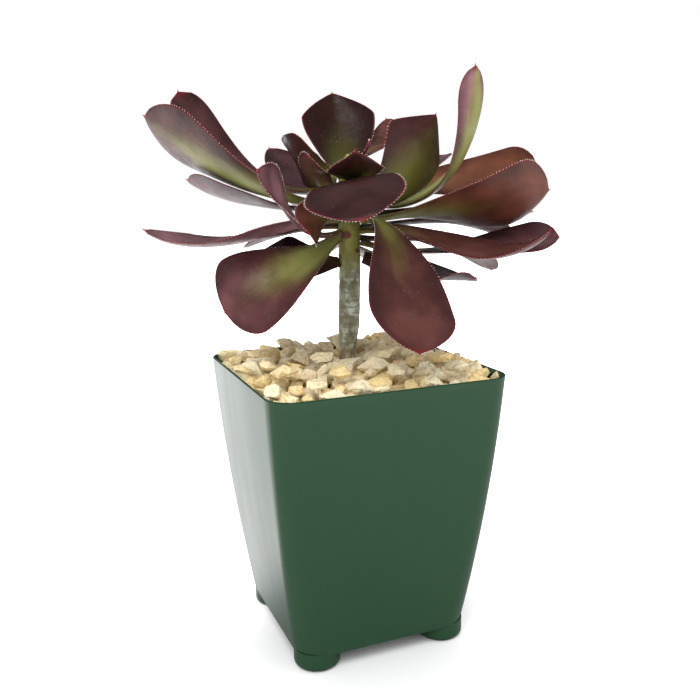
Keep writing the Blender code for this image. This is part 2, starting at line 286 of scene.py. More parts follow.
def bumpInto(tree, height, strength, distance, below=None):
    node = tree.nodes.new("ShaderNodeBump")
    node.inputs["Strength"].default_value = strength
    node.inputs["Distance"].default_value = distance
    join(tree, height, node.inputs["Height"])
    if below is not None:
        join(tree, below, node.inputs["Normal"])
    return node.outputs["Normal"]


makeStudio()
makeFloor()
print("stage: studio lit")


# shader groups that several materials share

def makeMottleGroup():
    # cloudy variation of a surface: a soft mask and a fine grain
    group = bpy.data.node_groups.new("mottle", "ShaderNodeTree")
    for name, low, high in (
        ("Size", 1.0, 5000.0), ("Contrast", 0.0, 1.0), ("Grain Size", 1.0, 20000.0),
    ):
        socket = group.interface.new_socket(name, in_out="INPUT", socket_type="NodeSocketFloat")
        socket.min_value = low
        socket.max_value = high
    for name in ("Cloud", "Grain"):
        group.interface.new_socket(name, in_out="OUTPUT", socket_type="NodeSocketFloat")
    inputs = group.nodes.new("NodeGroupInput")
    outputs = group.nodes.new("NodeGroupOutput")
    place = group.nodes.new("ShaderNodeTexCoord").outputs["Object"]
    cloud = addNode(group, "ShaderNodeTexNoise", Detail=4.0, Roughness=0.6)
    grain = addNode(group, "ShaderNodeTexNoise", Detail=2.0, Roughness=0.5)
    for node, size in ((cloud, "Size"), (grain, "Grain Size")):
        join(group, place, node.inputs["Vector"])
        join(group, inputs.outputs[size], node.inputs["Scale"])
    spread = doMath(group, "SUBTRACT", cloud.outputs["Fac"], 0.5)
    spread = doMath(
        group, "MULTIPLY", spread, doMath(group, "MULTIPLY", inputs.outputs["Contrast"], 4.0),
    )
    join(group, doMath(group, "ADD", spread, 0.5, clamp=True), outputs.inputs["Cloud"])
    join(group, grain.outputs["Fac"], outputs.inputs["Grain"])
    return group


def makeEdgeWearGroup():
    # a mask of the edges and corners that stand out
    group = bpy.data.node_groups.new("edgeWear", "ShaderNodeTree")
    group.interface.new_socket("Reach", in_out="INPUT", socket_type="NodeSocketFloat")
    group.interface.new_socket("Breakup", in_out="INPUT", socket_type="NodeSocketFloat")
    group.interface.new_socket("Wear", in_out="OUTPUT", socket_type="NodeSocketFloat")
    inputs = group.nodes.new("NodeGroupInput")
    outputs = group.nodes.new("NodeGroupOutput")
    pointiness = group.nodes.new("ShaderNodeNewGeometry").outputs["Pointiness"]
    place = group.nodes.new("ShaderNodeTexCoord").outputs["Object"]
    patch = addNode(group, "ShaderNodeTexNoise", Detail=3.0)
    join(group, place, patch.inputs["Vector"])
    join(group, inputs.outputs["Breakup"], patch.inputs["Scale"])
    start = doMath(group, "SUBTRACT", 0.58, doMath(group, "MULTIPLY", inputs.outputs["Reach"], 0.1))
    raised = mapRange(group, pointiness, start, doMath(group, "ADD", start, 0.08))
    join(group, doMath(group, "MULTIPLY", raised, patch.outputs["Fac"]), outputs.inputs["Wear"])
    return group


mottleGroup = makeMottleGroup()
edgeWearGroup = makeEdgeWearGroup()


def useGroup(tree, group, **values):
    node = tree.nodes.new("ShaderNodeGroup")
    node.node_tree = group
    for key, value in values.items():
        node.inputs[key.replace("_", " ")].default_value = value
    return node


# helpers for meshes

def addPiece(name, mesh, materials, node):
    for each in materials:
        mesh.materials.append(each)
    piece = bpy.data.objects.new(name, mesh)
    scene.collection.objects.link(piece)
    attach(piece, "root")
    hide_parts(node)
    return piece


def finishMesh(name, made, smoothAngle=40):
    bmesh.ops.recalc_face_normals(made, faces=made.faces)
    mesh = bpy.data.meshes.new(name)
    made.to_mesh(mesh)
    made.free()
    mesh.shade_smooth()
    mesh.set_sharp_from_angle(angle=math.radians(smoothAngle))
    return mesh


def loft(made, loops, closeStart=True, closeEnd=True):
    # joins loops of equally many points into a tube and fills its ends
    rows = [[made.verts.new(point) for point in loop] for loop in loops]
    count = len(rows[0])
    for low, high in zip(rows, rows[1:]):
        for i in range(count):
            j = (i + 1) % count
            made.faces.new((low[i], low[j], high[j], high[i]))
    if closeStart:
        made.faces.new(reversed(rows[0]))
    if closeEnd:
        made.faces.new(rows[-1])
    return rows


def circlePoints(radius, z, sides, centre=(0, 0)):
    turns = [2 * math.pi * i / sides for i in range(sides)]
    return [
        Vector((centre[0] + radius * math.cos(a), centre[1] + radius * math.sin(a), z)) for a in turns
    ]


def smoothstep(low, high, value):
    share = min(max((value - low) / (high - low), 0), 1)
    return share * share * (3 - 2 * share)


print("stage: helpers ready")


# pot

pot = {
    "height": 118.6 * mm,
    "rimWidth": 102 * mm,
    "baseWidth": 77.4 * mm,
    "sideBulge": 1.4 * mm,
    "rimCorner": 10.7 * mm,
    "baseCorner": 12 * mm,
    "wall": 1.2 * mm,
    "floor": 1.6 * mm,
    "lip": 0.45 * mm,  # rounding of the rim's edge
    "skirtRound": 0.5 * mm,  # rounding where the sides meet the underside
    "footHeight": 7.3 * mm,
    "footRadius": 9.7 * mm,
    "footRounding": 2.6 * mm,
    "footOffset": 28.8 * mm,
    "drainRadius": 3.5 * mm,
    "drainOffset": 15 * mm,
    "cornerSteps": 14,
    "green": (0.011, 0.045, 0.018),
    "greenWorn": (0.025, 0.065, 0.035),
    "roughness": 0.23,
}


def roundedSquare(half, corner, z, steps):
    centre = (half - corner) * math.sqrt(2)
    points = []
    for quarter in range(4):
        turn = quarter * math.pi / 2
        for step in range(steps + 1):
            angle = turn + step / steps * math.pi / 2
            x = centre * math.cos(turn + math.pi / 4) + corner * math.cos(angle)
            y = centre * math.sin(turn + math.pi / 4) + corner * math.sin(angle)
            points.append(Vector((x, y, z)))
    return points


def potSection(z, inset=0.0):
    share = (z - pot["footHeight"]) / (pot["height"] - pot["footHeight"])
    half = pot["baseWidth"] / 2 + (pot["rimWidth"] - pot["baseWidth"]) / 2 * share
    half += pot["sideBulge"] * 4 * share * (1 - share)
    corner = pot["baseCorner"] + (pot["rimCorner"] - pot["baseCorner"]) * share
    return roundedSquare(half - inset, corner - inset, z, pot["cornerSteps"])


def makePotMesh():
    made = bmesh.new()
    top, foot, lip, wall = pot["height"], pot["footHeight"], pot["lip"], pot["wall"]
    loops = []
    for step in range(5):  # rounded lower edge
        angle = step / 4 * math.pi / 2
        inset = pot["skirtRound"] * (1 - math.sin(angle))
        loops.append(potSection(foot + pot["skirtRound"] * (1 - math.cos(angle)), inset))
    low = foot + pot["skirtRound"]
    for step in range(1, 27):
        loops.append(potSection(low + (top - lip - low) * step / 26))
    for step in range(1, 6):  # rounded rim
        angle = step / 5 * math.pi / 2
        loops.append(potSection(top - lip + lip * math.sin(angle), lip * (1 - math.cos(angle))))
    for step in range(5):
        angle = (1 - step / 4) * math.pi / 2
        loops.append(potSection(top - lip + lip * math.sin(angle), wall - lip * (1 - math.cos(angle))))
    for step in range(1, 13):
        loops.append(potSection(top - lip - (top - lip - foot - pot["floor"]) * step / 12, wall))
    loft(made, loops)
    return finishMesh("pot", made, 35)


def makeFootMesh():
    made = bmesh.new()
    loops = []
    for step in range(9):
        angle = step / 8 * math.pi / 2
        inset = pot["footRounding"] * (1 - math.sin(angle))
        loops.append(
            circlePoints(pot["footRadius"] - inset, pot["footRounding"] * (1 - math.cos(angle)), 56),
        )
    loops.append(circlePoints(pot["footRadius"], pot["footHeight"] + pot["floor"] / 2, 56))
    loft(made, loops)
    return finishMesh("foot", made, 35)


def makeDrainMesh():
    made = bmesh.new()
    low = pot["footHeight"] - pot["floor"]
    loft(made, [circlePoints(pot["drainRadius"], z, 32) for z in (low, low + 4 * pot["floor"])])
    return finishMesh("drain", made, 35)


def cutOrJoin(piece, others, operation):
    for other in others:
        modifier = piece.modifiers.new(other.name, "BOOLEAN")
        modifier.object = other
        modifier.operation = operation
        modifier.solver = "EXACT"
    bpy.context.view_layer.update()
    graph = bpy.context.evaluated_depsgraph_get()
    result = bpy.data.meshes.new_from_object(piece.evaluated_get(graph))
    piece.modifiers.clear()
    piece.data = result
    for other in others:
        bpy.data.objects.remove(other)


def potMaterial():
    made, tree, shader = newMaterial("pottedGreenPlastic")
    mottle = useGroup(tree, mottleGroup, Size=26.0, Contrast=0.16, Grain_Size=2600.0)
    wear = useGroup(tree, edgeWearGroup, Reach=0.5, Breakup=420.0)
    streakPlace = addNode(tree, "ShaderNodeMapping")
    streakPlace.inputs["Scale"].default_value = (90, 90, 9)
    join(tree, tree.nodes.new("ShaderNodeTexCoord").outputs["Object"], streakPlace.inputs["Vector"])
    streak = noise(tree, streakPlace.outputs["Vector"], 1.0, 3.0)
    cloudy = mixColour(
        tree, mottle.outputs["Cloud"], pot["green"], tuple(1.12 * c for c in pot["green"])
    )
    worn = mixColour(
        tree, doMath(tree, "MULTIPLY", wear.outputs["Wear"], 0.35), cloudy, pot["greenWorn"],
    )
    join(tree, worn, shader.inputs["Base Color"])
    rough = mapRange(
        tree, mottle.outputs["Cloud"], 0.0, 1.0, pot["roughness"] - 0.03, pot["roughness"] + 0.05,
    )
    rough = doMath(
        tree, "ADD", rough, doMath(tree, "MULTIPLY", doMath(tree, "SUBTRACT", streak, 0.5), 0.12),
    )
    join(tree, rough, shader.inputs["Roughness"])
    shader.inputs["IOR"].default_value = 1.5
    return made


def makePot():
    plastic = potMaterial()
    piece = addPiece("potShell", makePotMesh(), [plastic], "pot")
    feet = []
    footMesh = makeFootMesh()
    for number in range(4):
        angle = math.radians(45 + 90 * number)
        foot = bpy.data.objects.new("foot", footMesh)
        foot.location = Vector((math.cos(angle), math.sin(angle), 0)) * math.sqrt(2) * pot["footOffset"]
        scene.collection.objects.link(foot)
        feet.append(foot)
    cutOrJoin(piece, feet, "UNION")
    holes = []
    drainMesh = makeDrainMesh()
    for number in range(4):
        angle = math.radians(90 * number)
        hole = bpy.data.objects.new("drain", drainMesh)
        hole.location = Vector((math.cos(angle), math.sin(angle), 0)) * pot["drainOffset"]
        scene.collection.objects.link(hole)
        holes.append(hole)
    cutOrJoin(piece, holes, "DIFFERENCE")
    piece.data.shade_smooth()
    piece.data.set_sharp_from_angle(angle=math.radians(32))


makePot()
print("stage: pot made")


# soil, which stays the CAD solid under the chips

soil = {
    "dark": (0.022, 0.014, 0.009),
    "light": (0.085, 0.055, 0.033),
}


def soilMaterial():
    made, tree, shader = newMaterial("pottingSoil")
    mottle = useGroup(tree, mottleGroup, Size=420.0, Contrast=0.8, Grain_Size=2400.0)
    join(
        tree,
        mixColour(tree, mottle.outputs["Cloud"], soil["dark"], soil["light"]),
        shader.inputs["Base Color"],
    )
    shader.inputs["Roughness"].default_value = 0.95
    crumbs = bumpInto(tree, mottle.outputs["Cloud"], 0.9, 0.0016)
    join(tree, bumpInto(tree, mottle.outputs["Grain"], 0.6, 0.0004, crumbs), shader.inputs["Normal"])
    return made


mixNode = nodes["potting_mix"]
mixNode.data.materials.clear()
mixNode.data.materials.append(soilMaterial())
print("stage: soil covered")


# stem

stem = {
    "radius": 4.55 * mm,
    "neck": 3.4 * mm,
    "buried": 84 * mm,
    "top": 203 * mm,
    "sides": 64,
    "stations": 190,
    "ringHeights": (134, 141.5, 147, 154.5, 160, 166.5, 172, 177, 181, 185),  # old leaf rows, in mm
    "ringDepth": 0.14 * mm,
    "budTop": 207.5 * mm,
    "barkTop": 131 * mm,  # papery bark below this height
    "greenFrom": 160 * mm,  # young green skin above this height
}
stemTones = {
    "woodDark": (0.085, 0.08, 0.032),
    "woodLight": (0.26, 0.27, 0.17),
    "bloom": (0.46, 0.51, 0.45),
    "ringBrown": (0.15, 0.075, 0.03),
    "bandBrown": (0.13, 0.085, 0.04),
    "youngDark": (0.15, 0.13, 0.022),
    "youngLight": (0.28, 0.27, 0.060),
    "barkDark": (0.24, 0.17, 0.09),
    "barkLight": (0.62, 0.56, 0.43),
    "scar": (0.115, 0.022, 0.012),
}
leafScars = (  # height in mm, heading in degrees, width and height in mm
    (174.5, -128, 4.6, 3.6),
    (168.0, -60, 4.4, 2.4),
    (171.0, 60, 4.6, 2.6),
    (166.0, 150, 4.2, 2.2),
)


def stemCentre(z):
    lean = max(0, 1 - (z - 118 * mm) / (48 * mm)) ** 2
    return Vector((0.5 * mm - 1.9 * mm * lean, 0.7 * mm * lean, z))


def stemRadius(z):
    up = smoothstep(122 * mm, 138 * mm, z)
    radius = stem["neck"] + (stem["radius"] - stem["neck"]) * up
    crown = min(max((z - 190 * mm) / (stem["top"] - 190 * mm), 0), 1)
    return radius * math.sqrt(1 - 0.8 * crown**2)


def scarMask(z, angle):
    # 1 inside a leaf scar, a rounded triangle with its point down
    most = 0.0
    for height, heading, width, tall in leafScars:
        turn = (math.degrees(angle) - heading + 180) % 360 - 180
        across = math.radians(turn) * stem["radius"] / (width / 2 * mm)
        up = (z / mm - height) / (tall / 2)
        shape = math.hypot(across * (1.0 + 0.22 * up), up)
        most = max(most, 1 - smoothstep(0.75, 1.05, shape))
    return most


def makeStem():
    made = bmesh.new()
    layers = [made.verts.layers.float.new(name) for name in ("scar", "ring")]
    loops = []
    masks = []
    for i in range(stem["stations"] + 1):
        z = stem["buried"] + (stem["top"] - stem["buried"]) * i / stem["stations"]
        ring = 0.0
        for height in stem["ringHeights"]:
            ring += math.exp(-(((z / mm - height) / 0.45) ** 2))
        papery = 1 - smoothstep(stem["barkTop"] - 8 * mm, stem["barkTop"], z)
        loop = []
        for side in range(stem["sides"]):
            angle = 2 * math.pi * side / stem["sides"]
            scar = scarMask(z, angle)
            wrinkle = 0.05 * math.sin(9 * angle + 3 * math.sin(z / mm * 0.35))
            wrinkle += 0.05 * math.sin(15 * angle + z / mm * 0.8)
            rough = papery * (
                0.20 * math.sin(7 * angle + z / mm * 1.7) + 0.14 * math.sin(13 * angle - z / mm * 2.9)
            )
            swell = (0.22 * scar + wrinkle + rough) * mm - ring * stem["ringDepth"] * (
                0.7 + 0.3 * math.sin(3 * angle)
            )
            radius = stemRadius(z) + swell * min(stemRadius(z) / stem["radius"], 1)
            loop.append(stemCentre(z) + Vector((radius * math.cos(angle), radius * math.sin(angle), 0)))
            masks.append((scar, min(ring, 1) * smoothstep(-0.3, 0.5, math.sin(2 * angle + z / mm))))
        loops.append(loop)
    for step in range(1, 13):  # the growing tip
        up = step / 12
        radius = stemRadius(stem["top"]) * math.sqrt(max(1 - up**1.6, 0.004))
        z = stem["top"] + (stem["budTop"] - stem["top"]) * up
        loops.append([p + stemCentre(z) for p in circlePoints(radius, 0, stem["sides"])])
        masks += [(0.0, 0.0)] * stem["sides"]
    rows = loft(made, loops)
    for vert, values in zip((v for row in rows for v in row), masks):
        for layer, value in zip(layers, values):
            vert[layer] = value
    return finishMesh("stem", made, 50)


def stemMaterial():
    made, tree, shader = newMaterial("stemSkin")
    place = tree.nodes.new("ShaderNodeTexCoord").outputs["Object"]
    split = tree.nodes.new("ShaderNodeSeparateXYZ")
    join(tree, place, split.inputs[0])
    height = split.outputs["Z"]
    stretched = addNode(tree, "ShaderNodeMapping")
    stretched.inputs["Scale"].default_value = (330, 330, 190)
    join(tree, place, stretched.inputs["Vector"])
    fibre = noise(tree, stretched.outputs["Vector"], 1.0, 4.0, 0.6)
    banded = addNode(tree, "ShaderNodeMapping")
    banded.inputs["Scale"].default_value = (90, 90, 520)
    join(tree, place, banded.inputs["Vector"])
    band = noise(tree, banded.outputs["Vector"], 1.0, 3.0, 0.5)
    mottle = useGroup(tree, mottleGroup, Size=170.0, Contrast=0.7, Grain_Size=3000.0)
    # woody grey-green skin with a bluish bloom, greener towards the leaves, papery at the bottom
    woody = mixColour(tree, mottle.outputs["Cloud"], stemTones["woodDark"], stemTones["woodLight"])
    woody = mixColour(tree, mapRange(tree, fibre, 0.42, 0.72), woody, stemTones["bloom"])
    ringShare = doMath(tree, "MULTIPLY", attribute(tree, "ring"), 0.75)
    woody = mixColour(tree, ringShare, woody, stemTones["ringBrown"])
    bandShare = doMath(tree, "MULTIPLY", mapRange(tree, band, 0.52, 0.64), 0.6)
    woody = mixColour(tree, bandShare, woody, stemTones["bandBrown"])
    young = mixColour(tree, mottle.outputs["Cloud"], stemTones["youngDark"], stemTones["youngLight"])
    papery = mapRange(tree, fibre, 0.4, 0.65)
    papery = mixColour(tree, papery, stemTones["barkDark"], stemTones["barkLight"])
    greening = mapRange(tree, height, stem["greenFrom"] - 0.006, stem["greenFrom"] + 0.008)
    skin = mixColour(tree, greening, woody, young)
    paperyShare = mapRange(tree, height, stem["barkTop"] - 0.011, stem["barkTop"] - 0.001, 1.0, 0.0)
    skin = mixColour(tree, paperyShare, skin, papery)
    skin = mixColour(tree, attribute(tree, "scar"), skin, stemTones["scar"])
    join(tree, skin, shader.inputs["Base Color"])
    join(tree, mapRange(tree, greening, 0.0, 1.0, 0.62, 0.42, False), shader.inputs["Roughness"])
    shader.inputs["Subsurface Weight"].default_value = 0.08
    shader.inputs["Subsurface Radius"].default_value = (1.0, 0.8, 0.3)
    shader.inputs["Subsurface Scale"].default_value = 0.0012
    fine = bumpInto(tree, fibre, 0.5, 0.0004)
    join(tree, bumpInto(tree, mottle.outputs["Grain"], 0.3, 0.0002, fine), shader.inputs["Normal"])
    return made


addPiece("stemTrunk", makeStem(), [stemMaterial()], "stem")
print("stage: stem made")


# stone chips

chipLook = {
    "bedEdge": 116.5 * mm,
    "bedCrown": 121.5 * mm,
    "hexSpacing": 8.8 * mm,
    "spread": 2.1 * mm,
    "layers": (-8.6 * mm, -4.2 * mm, 0.3 * mm),
    "longest": (8.5 * mm, 18.5 * mm),
    "cream": (0.97, 0.75, 0.35),
    "pale": (0.98, 0.87, 0.60),
    "tan": (0.84, 0.47, 0.17),
    "grey": (0.88, 0.73, 0.50),
}
looseChips = {  # distance and heading from the stem, length, breadth, thickness, seed
    "chip_front_left": (41, -152, 15, 10, 6, 3),
    "chip_front": (36, -118, 15, 11, 6, 5),
    "chip_front_right": (37, -84, 13, 10, 6, 8),
    "chip_front_corner": (50, -126, 12, 9, 5.5, 13),
    "chip_right": (39, -34, 16, 11, 6, 21),
    "chip_right_corner": (49, -50, 13, 10, 6, 34),
    "chip_right_back": (36, 4, 14, 12, 7, 55),
    "chip_back_right": (38, 38, 15, 10, 6, 89),
    "chip_back": (37, 76, 14, 11, 7, 144),
    "chip_back_left": (40, 116, 15, 10, 6, 233),
    "chip_left_back": (41, 152, 13, 11, 6, 377),
    "chip_left": (38, 186, 14, 10, 6, 610),
    "chip_by_stem_right": (15, -40, 15, 12, 7, 17),
    "chip_by_stem_left": (16, -158, 13, 10, 6, 29),
    "chip_by_stem_back": (16, 78, 14, 11, 7, 47),
}


def chipHull(made, random, size, points):
    # an angular stone: the hull of points scattered over an ellipsoid
    verts = []
    for _ in range(points):
        point = Vector(random.normal(size=3)).normalized()
        point *= random.uniform(0.85, 1.0)
        verts.append(made.verts.new([p * s / 2 for p, s in zip(point, size)]))
    hull = bmesh.ops.convex_hull(made, input=verts)
    inside = [v for v in hull["geom_interior"] if isinstance(v, bmesh.types.BMVert)]
    bmesh.ops.delete(made, geom=inside, context="VERTS")
    return [v for v in verts if v.is_valid]


def roundEdges(made, amount):
    bmesh.ops.dissolve_limit(made, angle_limit=math.radians(9), verts=made.verts, edges=made.edges)
    sharp = [
        e for e in made.edges if len(e.link_faces) == 2 and e.calc_face_angle(0) > math.radians(14)
    ]
    bmesh.ops.bevel(
        made, geom=sharp, offset=amount, segments=2, profile=0.6, affect="EDGES", clamp_overlap=True,
    )
    bmesh.ops.triangulate(made, faces=made.faces)


def chipMaterial():
    made, tree, shader = newMaterial("chipStone")
    tone = attribute(tree, "tone")
    warm = attribute(tree, "warm")
    mottle = useGroup(tree, mottleGroup, Size=230.0, Contrast=0.55, Grain_Size=2200.0)
    pits = addNode(tree, "ShaderNodeTexVoronoi", Scale=900.0, Randomness=1.0)
    join(tree, tree.nodes.new("ShaderNodeTexCoord").outputs["Object"], pits.inputs["Vector"])
    body = mixColour(tree, mapRange(tree, tone, -0.1, 0.6), chipLook["cream"], chipLook["pale"])
    body = mixColour(tree, mapRange(tree, tone, 0.9, 0.97), body, chipLook["grey"])
    stain = doMath(tree, "MULTIPLY", mapRange(tree, mottle.outputs["Cloud"], 0.35, 0.95), warm)
    body = mixColour(tree, stain, body, chipLook["tan"])
    dust = mapRange(tree, mottle.outputs["Grain"], 0.35, 0.7, 0.92, 1.06)
    body = mixColour(tree, 1.0, body, dust, "MULTIPLY")
    join(tree, body, shader.inputs["Base Color"])
    shader.inputs["Roughness"].default_value = 0.88
    shader.inputs["Subsurface Weight"].default_value = 0.05
    shader.inputs["Subsurface Radius"].default_value = (1.0, 0.8, 0.5)
    shader.inputs["Subsurface Scale"].default_value = 0.001
    coarse = bumpInto(tree, mottle.outputs["Cloud"], 0.9, 0.0018)
    pitted = bumpInto(tree, pits.outputs["Distance"], 0.6, 0.0007, coarse)
    join(tree, bumpInto(tree, mottle.outputs["Grain"], 0.5, 0.00035, pitted), shader.inputs["Normal"])
    return made


def setTone(mesh, tone, warm):
    for name, values in (("tone", tone), ("warm", warm)):
        layer = mesh.attributes.new(name, "FLOAT", "POINT")
        layer.data.foreach_set("value", np.asarray(values, dtype=np.float32))


chipStone = chipMaterial()


def makeLooseChips():
    for name, (distance, heading, length, breadth, thickness, seed) in looseChips.items():
        made = bmesh.new()
        random = np.random.default_rng(seed)
        chipHull(made, random, (length * mm, breadth * mm, thickness * mm), 16)
        roundEdges(made, 0.45 * mm)
        turn = math.radians(heading + seed * 37)
        bmesh.ops.rotate(made, verts=made.verts, matrix=Matrix.Rotation(turn, 3, "Z"))
        mesh = finishMesh(name, made, 24)
        low, high = (Vector(corner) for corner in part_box(name))
        middle = (low + high) / 2
        own = [v.co for v in mesh.vertices]
        ownMiddle = Vector((max(c[i] for c in own) + min(c[i] for c in own)) / 2 for i in range(3))
        mesh.transform(Matrix.Translation(middle - ownMiddle))
        setTone(mesh, [random.uniform(0, 0.85)] * len(own), [random.uniform(0.05, 0.6)] * len(own))
        addPiece("loose" + name.title().replace("_", ""), mesh, [chipStone], name)


def bedHeight(share):
    return chipLook["bedCrown"] + (chipLook["bedEdge"] - chipLook["bedCrown"]) * share**2


def chipPlaces(random):
    # three loose layers on a shaken honeycomb inside the pot's wall
    places = []
    wallHalf = pot["rimWidth"] / 2 - pot["wall"]
    loose = []
    for distance, heading, length, *_ in looseChips.values():
        angle = math.radians(heading)
        loose.append((distance * mm * math.cos(angle), distance * mm * math.sin(angle), length * mm))
    for number, offset in enumerate(chipLook["layers"]):
        step = chipLook["hexSpacing"]
        rows = int(2 * wallHalf / (step * 0.866)) + 1
        for row in range(rows + 1):
            for column in range(rows + 1):
                x = -wallHalf + (column + 0.5 * (row % 2) + 0.33 * number) * step
                y = -wallHalf + row * step * 0.866
                x += random.uniform(-1, 1) * chipLook["spread"]
                y += random.uniform(-1, 1) * chipLook["spread"]
                longest = random.uniform(*chipLook["longest"]) * (0.9 if number == 2 else 1.0)
                lift = random.uniform(-1.2, 1.2) * mm
                tone, warm = random.uniform(), random.uniform()
                sizes = (
                    longest, longest * random.uniform(0.62, 0.85), longest * random.uniform(0.5, 0.7),
                )
                turns = random.uniform(0, 2 * math.pi, 3)
                seed = int(random.integers(1, 10**6))
                if max(abs(x), abs(y)) > wallHalf or math.hypot(x, y) > wallHalf * 1.32:
                    continue
                z = bedHeight(max(abs(x), abs(y)) / wallHalf) + offset + lift
                centre = stemCentre(z)
                if math.hypot(x - centre.x, y - centre.y) < stemRadius(z) + longest * 0.42:
                    continue
                if number == 2 and any(
                    math.hypot(x - a, y - b) < s * 0.36 + longest * 0.3 for a, b, s in loose
                ):
                    continue
                places.append((Vector((x, y, z)), sizes, turns, seed, tone, warm))
    return places


def keepInPot(made, place):
    # pushes a stone back from the pot's wall
    share = (place.z - pot["footHeight"]) / (pot["height"] - pot["footHeight"])
    half = pot["baseWidth"] / 2 + (pot["rimWidth"] - pot["baseWidth"]) / 2 * min(share, 0.97)
    inner = half - pot["wall"] - 0.3 * mm
    turn = pot["rimCorner"] - pot["wall"]
    for _ in range(3):
        for axis in (0, 1):
            high = max(v.co[axis] for v in made.verts) + place[axis]
            low = min(v.co[axis] for v in made.verts) + place[axis]
            place[axis] += max(-inner - low, 0) - max(high - inner, 0)
        for x, y in ((1, 1), (1, -1), (-1, 1), (-1, -1)):
            centre = Vector((x, y)) * (inner - turn)
            over = 0.0
            for vert in made.verts:
                off = (vert.co + place).xy - centre
                if off.x * x > 0 and off.y * y > 0:
                    over = max(over, off.length - turn)
            place.x -= x * over * 0.71
            place.y -= y * over * 0.71


def makeChipBed():
    random = np.random.default_rng(11)
    points, faces, tones, warms = [], [], [], []
    for place, sizes, turns, seed, tone, warm in chipPlaces(random):
        made = bmesh.new()
        chipHull(made, np.random.default_rng(seed), sizes, 13)
        roundEdges(made, 0.32 * mm)
        turn = Matrix.Rotation(turns[0], 3, "Z") @ Matrix.Rotation((turns[1] - math.pi) * 0.22, 3, "X")
        bmesh.ops.rotate(made, verts=made.verts, matrix=turn)
        keepInPot(made, place)
        start = len(points)
        points += [tuple(v.co + place) for v in made.verts]
        made.verts.index_update()
        faces += [tuple(start + v.index for v in f.verts) for f in made.faces]
        tones += [tone] * len(made.verts)
        warms += [warm**2.5 * 0.7] * len(made.verts)
        made.free()
    mesh = bpy.data.meshes.new("chipBed")
    mesh.from_pydata(points, [], faces)
    mesh.shade_smooth()
    mesh.set_sharp_from_angle(angle=math.radians(24))
    setTone(mesh, tones, warms)
    addPiece("chipBed", mesh, [chipStone], "chip_layer")


makeLooseChips()
makeChipBed()
print("stage: stone chips laid")


# leaves: each is rebuilt finer from the figures that its CAD solid was drawn with

leafLook = {
    "coarseStations": 12,
    "finePerCoarse": 4,
    "strips": 14,
    "thickBase": 2.7,
    "thickTip": 1.3,
    "edge": 0.5,
    "baseShare": 0.17,
    "gap": 0.3,
    "wave": 0.28,  # undulation of the margin, in mm
    "keel": 0.35,  # how far the midrib stands out of the underside, in mm
    "groove": 0.25,  # depth of the channel along the upper side, in mm
    "toothSpacing": 1.35,
    "toothLength": (0.55, 0.95),
    "toothRadius": 0.115,
    "tipLength": 2.0,
    "tipRadius": 0.42,
    "purple": (0.044, 0.011, 0.011),
    "rust": (0.130, 0.036, 0.009),
    # a pale mauve, partly the undersides' own colour and partly painted sheen of white light on the
    # waxy skin
    "mauveSheen": (0.21, 0.105, 0.125),
    "green": (0.125, 0.125, 0.010),
    "paleGreen": (0.36, 0.40, 0.13),
    "marginDark": (0.022, 0.006, 0.009),
    "marginRed": (0.15, 0.006, 0.010),
    "roughness": 0.33,
}

